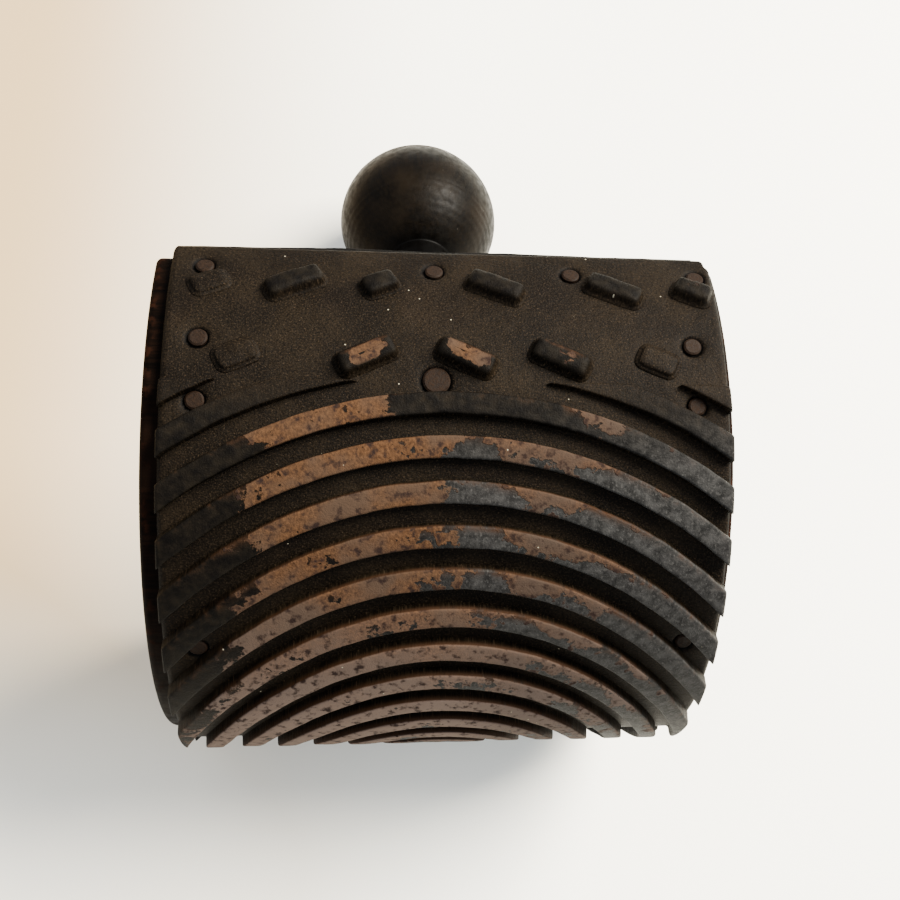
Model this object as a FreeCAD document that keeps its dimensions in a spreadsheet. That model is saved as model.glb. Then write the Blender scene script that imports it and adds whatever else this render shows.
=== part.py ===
"""Graining rocker: a half-round wooden block, faced with a moulded rubber pad
that is nailed round it, and held by a turned handle that ends in a ball.

Two frames are used.  In the rocker's own frame the block's round axis is X,
the middle of the working face looks along +Z and the handle points along -Z;
+Y is the side of the pad that carries the short dashes.  The finished pieces
are then turned about X and laid down as the tool rests on a table: on the
ball of its handle and on the far edge of the pad, working face up.
"""
import FreeCAD, Part
import Sketcher
import math
import os

V = FreeCAD.Vector
V2 = FreeCAD.Base.Vector2d
X_AXIS = V(1, 0, 0)
doc = FreeCAD.newDocument("graining_rocker")

# ---------------------------------------------------------------- sizes, mm
SIZES = {
    # half-round wooden block
    "block_width": 133.0,
    "block_radius": 69.0,
    "back_drop": 2.0,            # how far the flat back lies behind the round axis
    "back_edge_round": 3.0,
    "end_edge_round": 1.5,
    # moulded rubber pad
    "pad_width": 127.0,
    "pad_shift": 1.3,            # the pad was nailed on a little off the middle
    "top_edge_angle": 91.4,      # degrees from the middle of the face to the edge by the dashes
    "far_edge_angle": 88.0,      # the same to the other edge, which stops a little short
    "sheet_thickness": 3.0,
    "pad_corner_round": 2.5,     # the two corners beside the dashes
    "ridge_height": 3.0,
    "ridge_pitch": 10.0,
    "ridge_land": 5.4,           # width of a ridge's flat top
    "ridge_stretch": 1.1,        # ovals are this much longer round the face than across
    "heart_below_middle": 48.3,  # the ovals' centre, round the face from its middle
    "dash_field": 40.0,          # depth of the plain strip that carries the dashes
    "dash_corner": 1.6,
    # the two rows of dashes, measured round the face from the pad's top edge
    "top_row": 13.7,
    "second_row": 33.7,
    "dash_length": 13.4,
    "dash_breadth": 5.4,
    "dash_height": 3.0,
    "dash_lean": 25.0,           # each dash slopes down, away from the middle of the pad
    "stub_height": 1.4,          # dashes that have worn low
    # cut nails that hold the pad
    "nail_head_radius": 2.1,
    "nail_head_thickness": 0.9,
    "nail_shank_radius": 0.8,
    "nail_length": 14.0,
    "nail_point": 2.4,
    "nail_sink": 0.3,            # head below the sheet's face
    "nail_seat_gap": 0.1,
    "nail_inset": 7.5,           # rows of nails in from the pad's edges
    "nail_first_down": 29.2,     # first nail of each side row, from the pad's top edge
    "head_bevel_depth": 0.3,
    "head_bevel_breadth": 0.4,
    "tack_head_radius": 3.1,     # the one large-headed tack near the middle
    "tack_shank_radius": 1.2,
    "tack_length": 18.0,
    "tack_point": 3.6,
    "tack_share": -0.028,        # place across the pad, as a share of its width
    "tack_down": 39.3,           # from the pad's top edge
    # turned handle
    "ball_radius": 26.5,
    "ball_reach": 117.0,         # round axis to the ball's centre
    "neck_radius": 10.5,
    "neck_length": 10.0,         # straight neck between the grip and the ball's girth
    "grip_radius": 15.5,
    "collar_radius": 19.0,
    "collar_length": 7.0,
    "cove_length": 8.0,
    "cove_radius": 12.0,
    "tenon_radius": 9.5,
    "tenon_length": 24.0,
    "tenon_gap": 0.1,
    # slotted wood screw that pulls the handle home, hidden under the pad
    "screw_radius": 2.4,
    "screw_head_radius": 4.6,
    "screw_head_depth": 2.8,
    "screw_bite": 18.0,          # length in the tenon
    "screw_point": 4.0,
    "screw_sink": 1.0,           # head below the round face
    "screw_gap": 0.3,
    "slot_breadth": 1.0,
    "slot_depth": 1.3,
}
sheet = doc.addObject("Spreadsheet::Sheet", "Sizes")
for row, (alias, value) in enumerate(SIZES.items(), start=1):
    sheet.set(f"A{row}", alias)
    sheet.set(f"B{row}", str(value))
    sheet.setAlias(f"B{row}", alias)
doc.recompute()


def size(alias):
    """A driving dimension, read back from the sheet."""
    return float(getattr(sheet, alias))


def worked_out(formula):
    """The value of a formula in the sheet's names, such as 'Sizes.pad_width / 2'."""
    return float(sheet.evalExpression(formula.replace("Sizes.", "")))


# Radii from the round axis: block, sheet's face, ridge tops.
FACE_RADIUS = "Sizes.block_radius + Sizes.sheet_thickness"
CROWN_RADIUS = "Sizes.block_radius + Sizes.sheet_thickness + Sizes.ridge_height"
HALF_CHORD = "sqrt(Sizes.block_radius^2 - Sizes.back_drop^2)"
# Heights in the rocker's own frame: the block's flat back, and the tenon's end in the block.
BACK = "-Sizes.back_drop"
TENON_END = "Sizes.tenon_length - Sizes.back_drop"
block_radius = size("block_radius")
face_radius = worked_out(FACE_RADIUS)
crown_radius = worked_out(CROWN_RADIUS)
pad_width = size("pad_width")
top_edge = math.radians(size("top_edge_angle"))
far_edge = math.radians(size("far_edge_angle"))
heart_down = top_edge * crown_radius + size("heart_below_middle")  # from the pad's top edge
OVERSHOOT = 1.0  # how far a cutter runs past what it cuts
LEAST_CUT = 1.0  # cubic mm: a cut that takes away less than this has missed
SAME_PLACE = 0.01  # places nearer to each other than this are one place
THROUGH_SHARE = 1.5  # the sheet's corner edges are shorter than this many thicknesses


# ------------------------------------------------------------- lying down
def resting_tilt():
    """Angle of the handle below level when ball and pad edge both touch down.

    The pad's far corner is edge_out to one side of the handle's line and
    reach along it from the ball; the ball's centre stands its radius above
    the table, and so the line from corner to ball does the same.
    """
    edge_out = crown_radius * math.sin(far_edge)
    edge_behind = -crown_radius * math.cos(far_edge)
    reach = size("ball_reach") - edge_behind
    span = math.hypot(edge_out, reach)
    return math.acos(size("ball_radius") / span) - math.atan2(reach, edge_out)


tilt = resting_tilt()
ball_out = size("ball_reach") * math.cos(tilt) + size("ball_radius")
ball_down = size("ball_reach") * math.sin(tilt) + size("ball_radius")
LAID = FreeCAD.Placement(V(0, (crown_radius - ball_out) / 2, ball_down),
                         FreeCAD.Rotation(X_AXIS, 90 - math.degrees(tilt)))


# ---------------------------------------------------------------- helpers
def new_body(name, placement=LAID):
    """An empty body, set down at its place on the table."""
    body = doc.addObject("PartDesign::Body", name)
    body.Label = name
    body.Placement = placement
    return body


def new_sketch(body, name, plane_role):
    """A sketch on one of the body's own origin planes."""
    sketch = body.newObject("Sketcher::SketchObject", name)
    plane = [f for f in body.Origin.OriginFeatures if f.Role == plane_role][0]
    sketch.AttachmentSupport = (plane, [""])
    sketch.MapMode = "FlatFace"
    return sketch


def arc_between(start, end, radius):
    """Arc from start to end, turning left for a positive radius, right for a negative one."""
    chord = end - start
    middle = (start + end) * 0.5
    left = V(-chord.y, chord.x, 0).normalize()
    rise = math.sqrt(max(radius * radius - (chord.Length / 2) ** 2, 0.0))
    centre = middle + left * math.copysign(rise, radius)
    first, last = (start, end) if radius > 0 else (end, start)
    circle = Part.Circle(centre, V(0, 0, 1), abs(radius))
    turn = [math.atan2(p.y - centre.y, p.x - centre.x) for p in (first, last)]
    return Part.ArcOfCircle(circle, turn[0], turn[1])


def draw_outline(sketch, corners):
    """Closed outline whose every corner and radius is tied to the sheet.

    corners: (formula for x, formula for y, formula for the radius of the arc
    to the next corner, or None for a straight run; a minus sign turns it right).
    """
    points = [V(worked_out(x), worked_out(y), 0) for x, y, _ in corners]
    count = len(corners)
    ends = []
    for index, (_, _, radius) in enumerate(corners):
        start, end = points[index], points[(index + 1) % count]
        if radius is None:
            geo = sketch.addGeometry(Part.LineSegment(start, end), False)
            ends.append((geo, 1, 2))
            continue
        value = worked_out(radius)
        geo = sketch.addGeometry(arc_between(start, end, value), False)
        ends.append((geo, 1, 2) if value > 0 else (geo, 2, 1))
        rule = sketch.addConstraint(Sketcher.Constraint("Radius", geo, abs(value)))
        sketch.setExpression(f"Constraints[{rule}]", f"abs({radius})")
    for index in range(count):
        geo, _, last = ends[index]
        following, first, _ = ends[(index + 1) % count]
        sketch.addConstraint(Sketcher.Constraint("Coincident", geo, last, following, first))
    for index, (x, y, _) in enumerate(corners):
        geo, first, _ = ends[index]
        for kind, formula, value in (("DistanceX", x, points[index].x), ("DistanceY", y, points[index].y)):
            rule = sketch.addConstraint(Sketcher.Constraint(kind, geo, first, value))
            sketch.setExpression(f"Constraints[{rule}]", formula)


def turned(body, name, corners):
    """A revolution of an outline in the XZ plane about the body's own Z axis."""
    sketch = new_sketch(body, name + "_profile", "XZ_Plane")
    draw_outline(sketch, corners)
    turn = body.newObject("PartDesign::Revolution", name)
    turn.Profile = sketch
    turn.ReferenceAxis = (sketch, ["V_Axis"])
    turn.Angle = 360
    return turn


def extruded(body, name, corners, width_formula):
    """An outline in the YZ plane, carried equally both ways along X."""
    sketch = new_sketch(body, name + "_profile", "YZ_Plane")
    draw_outline(sketch, corners)
    pad = body.newObject("PartDesign::Pad", name)
    pad.Profile = sketch
    pad.SideType = "Symmetric"
    pad.setExpression("Length", width_formula)
    return pad


# ------------------------------------------------------------ wooden block
def edges_where(shape, test):
    """Names of a shape's edges that pass a test."""
    return [f"Edge{number}" for number, edge in enumerate(shape.Edges, start=1) if test(edge)]


def rounded(body, name, base, test, radius_formula):
    """Fillet on those edges of a feature that pass a test."""
    doc.recompute()
    fillet = body.newObject("PartDesign::Fillet", name)
    fillet.Base = (base, edges_where(base.Shape, test))
    fillet.setExpression("Radius", radius_formula)
    return fillet


def make_block():
    """Half-round block: a turned cylinder sawn in two just past its middle.

    One turned cut from back to face makes the socket for the handle's tenon,
    the clearance hole for its screw and the countersink for the screw's head.
    """
    body = new_body("block_blank")
    blank = extruded(body, "half_round", [
        (HALF_CHORD, "-Sizes.back_drop", "Sizes.block_radius"),
        ("0", "Sizes.block_radius", "Sizes.block_radius"),
        ("-" + HALF_CHORD, "-Sizes.back_drop", None),
    ], "Sizes.block_width")
    half_width = size("block_width") / 2
    softened = rounded(body, "back_edges", blank,
                       lambda edge: edge.BoundBox.XLength > half_width
                       and abs(edge.BoundBox.ZMax + size("back_drop")) < SAME_PLACE,
                       "Sizes.back_edge_round")
    eased = rounded(body, "end_edges", softened,
                    lambda edge: edge.BoundBox.XLength < SAME_PLACE, "Sizes.end_edge_round")
    cut = "Sizes.screw_head_radius + Sizes.screw_gap"
    bore = "Sizes.screw_radius + Sizes.screw_gap"
    head_top = "Sizes.block_radius - Sizes.screw_sink"
    sketch = new_sketch(body, "handle_seat_profile", "XZ_Plane")
    draw_outline(sketch, [
        ("0", f"-Sizes.back_drop - {OVERSHOOT}", None),
        ("Sizes.tenon_radius + Sizes.tenon_gap", f"-Sizes.back_drop - {OVERSHOOT}", None),
        ("Sizes.tenon_radius + Sizes.tenon_gap", TENON_END + " + Sizes.tenon_gap", None),
        (bore, TENON_END + " + Sizes.tenon_gap", None),
        (bore, head_top + " - Sizes.screw_head_depth - Sizes.screw_gap", None),
        (cut, head_top + " - Sizes.screw_gap", None),
        (cut, f"Sizes.block_radius + {OVERSHOOT}", None),
        ("0", f"Sizes.block_radius + {OVERSHOOT}", None),
    ])
    groove = body.newObject("PartDesign::Groove", "handle_seat")
    groove.Profile = sketch
    groove.ReferenceAxis = (sketch, ["V_Axis"])
    groove.Angle = 360
    doc.recompute()
    if groove.Shape.Volume > eased.Shape.Volume - LEAST_CUT:
        raise RuntimeError("the handle's seat cut nothing from the block")
    return body


# --------------------------------------------------------------- rubber pad
def developed(across, round_from_middle):
    """A place on the pad as (angle, width) on its round surface.

    round_from_middle is measured along the ridge tops, from the middle of the
    face towards the dashes.
    """
    return V2(math.pi - round_from_middle / crown_radius, size("pad_shift") + across)


def round_surface(radius):
    """Cylinder about the block's axis, its seam at the back, clear of the pad."""
    surface = Part.Cylinder()
    surface.Radius = radius
    surface.Axis = X_AXIS
    surface.rotate(FreeCAD.Placement(V(), FreeCAD.Rotation(X_AXIS, -90)))
    return surface


def raised(curves, low, high):
    """Solid between two radii, with radial sides, over an outline drawn round the face."""
    caps = []
    rims = []
    for radius in (low, high):
        surface = round_surface(radius)
        rim = [curve.toShape(surface) for curve in curves]
        rims.append(rim)
        caps.append(Part.Face(Part.Wire(rim)))
    sides = [Part.makeRuledSurface(lower, upper) for lower, upper in zip(*rims)]
    shell = Part.makeShell(caps + sides)
    shell.sewShape()
    solid = Part.Solid(shell)
    if solid.Volume < 0:
        solid.reverse()
    return solid


def oval(reach):
    """Outline of an oval about the heart: reach is its half-length round the face."""
    centre = developed(0, -size("heart_below_middle"))
    along = V2(centre.x + reach / crown_radius, centre.y)
    across = V2(centre.x, centre.y + reach / size("ridge_stretch"))
    return Part.Geom2d.Ellipse2d(across, along, centre)


def sector(low, high, start, end, width):
    """Curved slab about X between two radii and two angles from the face's middle."""
    turn = (start, (start + end) / 2, end)
    inner, outer = ([V(-width / 2, r * math.sin(a), r * math.cos(a)) for a in turn] for r in (low, high))
    outline = Part.Wire([Part.Arc(*inner).toShape(),
                         Part.LineSegment(inner[2], outer[2]).toShape(),
                         Part.Arc(*outer[::-1]).toShape(),
                         Part.LineSegment(outer[0], inner[0]).toShape()])
    slab = Part.Face(outline).extrude(V(width, 0, 0))
    slab.translate(V(size("pad_shift"), 0, 0))
    return slab


ROOTED = 0.5  # depth that ridges and dashes reach into the sheet before they are joined to it


def make_ridges():
    """Concentric oval ridges, a set pitch apart, stopped by the pad's edges and the plain strip."""
    pitch = size("ridge_pitch")
    land = size("ridge_land")
    low = face_radius - ROOTED
    field_end = top_edge - size("dash_field") / crown_radius
    longest = math.hypot(heart_down - size("dash_field"), size("ridge_stretch") * pad_width / 2)
    rings = []
    for number in range(int(longest / pitch) + 1):
        inner = number * pitch
        ring = raised([oval(inner + land)], low, crown_radius)
        if inner:
            ring = ring.cut(raised([oval(inner)], low - OVERSHOOT, crown_radius + OVERSHOOT))
        rings.append(ring)
    field = sector(low - OVERSHOOT, crown_radius + OVERSHOOT, -far_edge, field_end, pad_width)
    return Part.makeCompound(rings).common(field).Solids


# Each dash: place across the pad as a share of its width, row, share of the full length, height.
DASHES = [
    (-0.429, "top_row", 0.60, "stub_height"),
    (-0.280, "top_row", 1.00, "dash_height"),
    (-0.128, "top_row", 0.60, "dash_height"),
    (0.083, "top_row", 1.00, "dash_height"),
    (0.304, "top_row", 1.00, "dash_height"),
    (0.453, "top_row", 0.65, "dash_height"),
    (-0.375, "second_row", 0.65, "stub_height"),
    (-0.150, "second_row", 1.00, "dash_height"),
    (0.025, "second_row", 1.00, "dash_height"),
    (0.194, "second_row", 1.00, "dash_height"),
    (0.373, "second_row", 0.65, "stub_height"),
]
ROUNDEST = 0.9  # a corner's radius never passes this share of the dash's half-breadth


def make_dash(width_share, row, share, height):
    """Short block of rubber, its outer end turned towards the ridges."""
    across = width_share * pad_width
    up = top_edge * crown_radius - size(row)
    lean = -math.copysign(math.radians(size("dash_lean")), across)
    half_length = size("dash_length") * share / 2
    half_breadth = size("dash_breadth") / 2
    corner = min(size("dash_corner"), ROUNDEST * half_breadth, ROUNDEST * half_length)
    straight = []
    for x, y in ((1, 1), (-1, 1), (-1, -1), (1, -1)):
        ends = [(x * half_length, y * (half_breadth - corner)),
                (x * (half_length - corner), y * half_breadth)]
        straight += ends if x * y > 0 else ends[::-1]
    places = [developed(across + x * math.cos(lean) - y * math.sin(lean),
                        up + x * math.sin(lean) + y * math.cos(lean)) for x, y in straight]
    curves = [Part.Geom2d.Line2dSegment(start, end) for start, end in zip(places, places[1:] + places[:1])]
    return raised(curves, face_radius - ROOTED, face_radius + size(height))


def make_pad(nails, seats):
    """The whole moulding, less the nails' own shapes and the seats sunk for their heads."""
    aside = FreeCAD.Placement(V(size("pad_shift"), 0, 0), FreeCAD.Rotation())
    sheet_body = new_body("pad_sheet", LAID * aside)
    top_out, top_up = (f"{turn}(Sizes.top_edge_angle * 1deg)" for turn in ("sin", "cos"))
    far_out, far_up = (f"{turn}(Sizes.far_edge_angle * 1deg)" for turn in ("sin", "cos"))
    wrap = extruded(sheet_body, "sheet_wrap", [
        (f"({FACE_RADIUS}) * {top_out}", f"({FACE_RADIUS}) * {top_up}", FACE_RADIUS),
        ("0", FACE_RADIUS, FACE_RADIUS),
        (f"-({FACE_RADIUS}) * {far_out}", f"({FACE_RADIUS}) * {far_up}", None),
        (f"-Sizes.block_radius * {far_out}", f"Sizes.block_radius * {far_up}", "-Sizes.block_radius"),
        ("0", "Sizes.block_radius", "-Sizes.block_radius"),
        (f"Sizes.block_radius * {top_out}", f"Sizes.block_radius * {top_up}", None),
    ], "Sizes.pad_width")
    through = THROUGH_SHARE * size("sheet_thickness")
    rounded(sheet_body, "pad_corners", wrap,
            lambda edge: edge.BoundBox.YMin > 0 and edge.Length < through, "Sizes.pad_corner_round")
    relief = []
    for number, solid in enumerate(make_ridges() + [make_dash(*dash) for dash in DASHES]):
        raised_piece = doc.addObject("Part::Feature", f"pad_relief_{number}")
        raised_piece.Shape = solid
        raised_piece.Placement = LAID
        relief.append(raised_piece)
    moulding = doc.addObject("Part::MultiFuse", "pad_moulding")
    moulding.Shapes = [sheet_body] + relief
    return cut_away("rubber_pad", moulding, nails + seats)


def cut_away(name, base, tools):
    """The base less every tool."""
    cutter = tools[0]
    if len(tools) > 1:
        cutter = doc.addObject("Part::MultiFuse", name + "_cutters")
        cutter.Shapes = tools
    piece = doc.addObject("Part::Cut", name)
    piece.Label = name
    piece.Base = base
    piece.Tool = cutter
    return piece


# -------------------------------------------------------------------- nails
def on_pad(across, from_top):
    """Placement whose origin is on the round axis and whose +Z looks out through a place on the pad."""
    angle = math.degrees(top_edge - from_top / crown_radius)
    spot = FreeCAD.Placement(V(size("pad_shift") + across, 0, 0), FreeCAD.Rotation(X_AXIS, -angle))
    return LAID * spot


def make_nail(name, place, kind):
    """A driven nail, turned about the line that it was driven along; kind is nail or tack."""
    body = new_body(name, place)
    head = f"Sizes.{kind}_head_radius"
    shank = f"Sizes.{kind}_shank_radius"
    top = f"{FACE_RADIUS} - Sizes.nail_sink"
    under = f"{top} - Sizes.nail_head_thickness"
    point = f"{top} - Sizes.{kind}_length"
    turned(body, name + "_turned", [
        ("0", point, None),
        (shank, f"{point} + Sizes.{kind}_point", None),
        (shank, under, None),
        (head, under, None),
        (head, f"{top} - Sizes.head_bevel_depth", None),
        (f"{head} - Sizes.head_bevel_breadth", top, None),
        ("0", top, None),
    ])
    return body


def make_seat(name, place, kind):
    """Cutter for the sunk seat of a nail's head in the rubber."""
    seat = doc.addObject("Part::Cylinder", name + "_seat")
    seat.setExpression("Radius", f"Sizes.{kind}_head_radius + Sizes.nail_seat_gap")
    seat.setExpression("Height", "Sizes.nail_head_thickness + Sizes.nail_sink + Sizes.ridge_height")
    low = face_radius - size("nail_sink") - size("nail_head_thickness")
    seat.Placement = place * FreeCAD.Placement(V(0, 0, low), FreeCAD.Rotation())
    return seat


def groove_near(reach, outward):
    """Reach of the middle of the first groove at least as far from the heart, or at most as far."""
    grooves = (reach - size("ridge_land") / 2) / size("ridge_pitch") - 0.5
    number = math.ceil(grooves) if outward else math.floor(grooves)
    return (number + 0.5) * size("ridge_pitch") + size("ridge_land") / 2


def down_to_groove(across, rise, outward=True):
    """Distance from the pad's top edge to the groove found at a rise above (or below) the heart."""
    sideways = size("ridge_stretch") * across
    reach = groove_near(math.hypot(sideways, rise), outward)
    climb = math.copysign(math.sqrt(reach ** 2 - sideways ** 2), rise)
    return heart_down - climb


# Where the nails of each row were driven: across the pad as shares of its width,
# and for the side rows the heights above the heart at which a groove takes the nail.
TOP_SHARES = (-0.441, -0.028, 0.228, 0.468)
SIDE_SHARE = 0.441
SIDE_RISES = (122.0, 60.0, -26.0)
BOTTOM_SHARES = (-0.464, -0.236, 0.236, 0.464)


def nail_places():
    """Every nail's name, place across the pad and distance from its top edge."""
    inset = size("nail_inset")
    bottom_rise = heart_down - (top_edge + far_edge) * crown_radius + inset
    places = [(f"nail_top_{n}", share * pad_width, inset) for n, share in enumerate(TOP_SHARES, 1)]
    for word, across in (("left", -SIDE_SHARE * pad_width), ("right", SIDE_SHARE * pad_width)):
        downs = [size("nail_first_down")] + [down_to_groove(across, rise) for rise in SIDE_RISES]
        places += [(f"nail_{word}_{n}", across, down) for n, down in enumerate(downs, 1)]
    for n, share in enumerate(BOTTOM_SHARES, 1):
        across = share * pad_width
        places.append((f"nail_bottom_{n}", across, down_to_groove(across, bottom_rise, outward=False)))
    return places


# ------------------------------------------------------------------- handle
def make_handle(screw):
    """Turned handle: tenon, collar, swelling grip, neck and ball in one piece of wood."""
    body = new_body("handle_turning")
    cove_end = f"{BACK} - Sizes.collar_length - Sizes.cove_length"
    neck_start = "-Sizes.ball_reach + Sizes.ball_radius + Sizes.neck_length"
    meeting = "-Sizes.ball_reach + sqrt(Sizes.ball_radius^2 - Sizes.neck_radius^2)"
    half_grip = "(Sizes.ball_reach - Sizes.ball_radius - Sizes.neck_length - Sizes.back_drop" \
                " - Sizes.collar_length - Sizes.cove_length) / 2"
    swell = "(Sizes.grip_radius - Sizes.neck_radius)"
    bow = f"(({half_grip})^2 + {swell}^2) / (2 * {swell})"
    turned(body, "handle_turned", [
        ("0", TENON_END, None),
        ("0", "-Sizes.ball_reach - Sizes.ball_radius", "Sizes.ball_radius"),
        ("Sizes.neck_radius", meeting, None),
        ("Sizes.neck_radius", neck_start, bow),
        ("Sizes.neck_radius", cove_end, "-Sizes.cove_radius"),
        ("Sizes.collar_radius", f"{BACK} - Sizes.collar_length", None),
        ("Sizes.collar_radius", BACK, None),
        ("Sizes.tenon_radius", BACK, None),
        ("Sizes.tenon_radius", TENON_END, None),
    ])
    return cut_away("handle", body, [screw])


def make_screw():
    """Slotted countersunk wood screw, head just under the round face, point in the tenon."""
    body = new_body("screw_turning")
    top = "Sizes.block_radius - Sizes.screw_sink"
    point = f"{TENON_END} - Sizes.screw_bite"
    turned(body, "screw_turned", [
        ("0", point, None),
        ("Sizes.screw_radius", f"{point} + Sizes.screw_point", None),
        ("Sizes.screw_radius", f"{top} - Sizes.screw_head_depth", None),
        ("Sizes.screw_head_radius", top, None),
        ("0", top, None),
    ])
    return body


def make_driver_slot():
    """Cutter for the driver's slot across the screw's head."""
    slot = doc.addObject("Part::Box", "driver_slot")
    slot.setExpression("Length", "2 * Sizes.screw_head_radius")
    slot.setExpression("Width", "Sizes.slot_breadth")
    slot.setExpression("Height", "Sizes.slot_depth + Sizes.screw_sink")
    low = block_radius - size("screw_sink") - size("slot_depth")
    slot.Placement = LAID * FreeCAD.Placement(
        V(-size("screw_head_radius"), -size("slot_breadth") / 2, low), FreeCAD.Rotation())
    return slot


# ----------------------------------------------------------------- assembly
tack_place = on_pad(size("tack_share") * pad_width, size("tack_down"))
nail_bodies = [make_nail(name, on_pad(across, down), "nail") for name, across, down in nail_places()]
seat_cutters = [make_seat(name, on_pad(across, down), "nail") for name, across, down in nail_places()]
tack = make_nail("tack_middle", tack_place, "tack")
seat_cutters.append(make_seat("tack_middle", tack_place, "tack"))
screw_body = make_screw()
pieces = [
    cut_away("wooden_block", make_block(), nail_bodies + [tack]),
    make_pad(nail_bodies + [tack], seat_cutters),
    make_handle(screw_body),
    cut_away("handle_screw", screw_body, [make_driver_slot()]),
    tack,
] + nail_bodies
doc.recompute()

# ------------------------------------------------------------ check and write
for item in doc.Objects:
    if "Invalid" in item.State or "Error" in item.State:
        raise RuntimeError(f"{item.Name} did not rebuild: {item.State}")
for piece in pieces:
    if piece.Shape.isNull() or not piece.Shape.isValid() or len(piece.Shape.Solids) != 1:
        raise RuntimeError(f"{piece.Label} is not one sound solid")

os.makedirs("parts", exist_ok=True)
for piece in pieces:
    piece.Shape.exportStep(f"parts/{piece.Label}.step")
    print(f"{piece.Label}: {piece.Shape.Volume / 1000:.2f} cm3")
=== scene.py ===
from math import radians
import bpy
import numpy as np
from mathutils import Matrix


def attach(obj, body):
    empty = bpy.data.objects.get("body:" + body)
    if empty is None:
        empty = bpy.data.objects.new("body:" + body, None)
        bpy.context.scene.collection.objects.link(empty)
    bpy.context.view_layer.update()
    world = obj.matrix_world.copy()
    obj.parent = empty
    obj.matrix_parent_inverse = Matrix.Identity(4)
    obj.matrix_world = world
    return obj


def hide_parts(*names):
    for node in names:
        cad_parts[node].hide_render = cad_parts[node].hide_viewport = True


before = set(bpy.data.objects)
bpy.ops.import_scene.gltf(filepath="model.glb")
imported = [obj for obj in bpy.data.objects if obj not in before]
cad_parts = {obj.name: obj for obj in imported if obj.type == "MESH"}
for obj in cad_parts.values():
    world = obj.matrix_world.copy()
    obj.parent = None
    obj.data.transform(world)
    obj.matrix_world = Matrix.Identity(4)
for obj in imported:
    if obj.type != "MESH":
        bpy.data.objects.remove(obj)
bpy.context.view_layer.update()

# ------------------------------------------------------------------ Table and light
# A plain pale table top, under one broad soft light from the back right and a weak even fill from all round.
# Its colour holds painted shade: darker and warmer on the left, near-white on the right and lighter towards
# the front.
scene = bpy.context.scene
MM = 0.001


def add(tree, kind, inputs=None, **settings):
    """One shader node with its settings, its numbers set and its sockets joined up."""
    node = tree.nodes.new(kind)
    for name, value in settings.items():
        setattr(node, name, value)
    for name, value in (inputs or {}).items():
        socket = node.inputs[name]
        if isinstance(value, bpy.types.NodeSocket):
            tree.links.new(value, socket)
        else:
            socket.default_value = value
    return node


def blend(tree, share, first, second):
    """Colour that goes from first to second as share goes from 0 to 1."""
    node = tree.nodes.new("ShaderNodeMix")
    node.data_type = "RGBA"
    for index, value in ((0, share), (6, first), (7, second)):
        if isinstance(value, bpy.types.NodeSocket):
            tree.links.new(value, node.inputs[index])
        elif index:
            node.inputs[index].default_value = (*value, 1)
        else:
            node.inputs[index].default_value = value
    return node.outputs[2]


def ramp(tree, value, low, high, start=0.0, end=1.0):
    """Smooth step of a value from start below low to end above high."""
    return add(tree, "ShaderNodeMapRange",
               {"Value": value, "From Min": low, "From Max": high, "To Min": start, "To Max": end},
               interpolation_type="SMOOTHSTEP").outputs["Result"]


def reckon(tree, operation, first, second=0.0):
    """A sum, product or the like of two values."""
    node = tree.nodes.new("ShaderNodeMath")
    node.operation = operation
    for socket, value in zip(node.inputs, (first, second)):
        if isinstance(value, bpy.types.NodeSocket):
            tree.links.new(value, socket)
        else:
            socket.default_value = value
    return node.outputs[0]


def stretched(tree, where, scale):
    """Coordinates drawn out by a different factor along each axis."""
    return add(tree, "ShaderNodeMapping", {"Vector": where, "Scale": scale}).outputs["Vector"]


def grain(tree, where, scale, detail=4.0, roughness=0.55, lacunarity=2.0):
    """Cloudy noise between 0 and 1."""
    return add(tree, "ShaderNodeTexNoise",
               {"Vector": where, "Scale": scale, "Detail": detail, "Roughness": roughness,
                "Lacunarity": lacunarity}).outputs["Fac"]


def material(name):
    """A new material: its node tree and its main surface node."""
    made = bpy.data.materials.new(name)
    made.use_nodes = True
    return made, made.node_tree, made.node_tree.nodes["Principled BSDF"]


def bumped(tree, surface, height, distance, strength=1.0):
    """Fine relief on a surface."""
    bump = add(tree, "ShaderNodeBump", {"Height": height, "Distance": distance, "Strength": strength})
    tree.links.new(bump.outputs["Normal"], surface.inputs["Normal"])


def new_piece(name, points, faces, smooth=True):
    """A mesh object from arrays of points and of corner numbers."""
    mesh = bpy.data.meshes.new(name)
    mesh.from_pydata(points.tolist(), [], faces)
    mesh.polygons.foreach_set("use_smooth", np.full(len(mesh.polygons), smooth))
    mesh.update()
    piece = bpy.data.objects.new(name, mesh)
    scene.collection.objects.link(piece)
    return piece


TABLE_HALF = 3.0
table_corners = TABLE_HALF * np.array([[-1, -1, 0], [1, -1, 0], [1, 1, 0], [-1, 1, 0]])
table = new_piece("table_top", table_corners, [(0, 1, 2, 3)], smooth=False)
table_finish, tree, surface = material("pale_table")
where = add(tree, "ShaderNodeTexCoord").outputs["Object"]
split = add(tree, "ShaderNodeSeparateXYZ", {"Vector": where}).outputs
# Painted light and shade: the colour goes from dark warm beige on the left to near-white on the right and
# towards the front.
painted_light_share = ramp(tree, split["X"], -0.150, 0.020)
painted_light_share = reckon(tree, "MAXIMUM", painted_light_share, ramp(tree, split["Y"], -0.02, -0.13, 0.0, 0.75))
tree.links.new(blend(tree, painted_light_share, (0.46, 0.31, 0.15), (0.98, 0.96, 0.86)), surface.inputs["Base Color"])
surface.inputs["Roughness"].default_value = 0.6
table.data.materials.append(table_finish)

world = bpy.data.worlds.new("even_fill")
scene.world = world
world.use_nodes = True
world.node_tree.nodes["Background"].inputs["Color"].default_value = (0.86, 0.92, 1.0, 1)
world.node_tree.nodes["Background"].inputs["Strength"].default_value = 1.7


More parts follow.
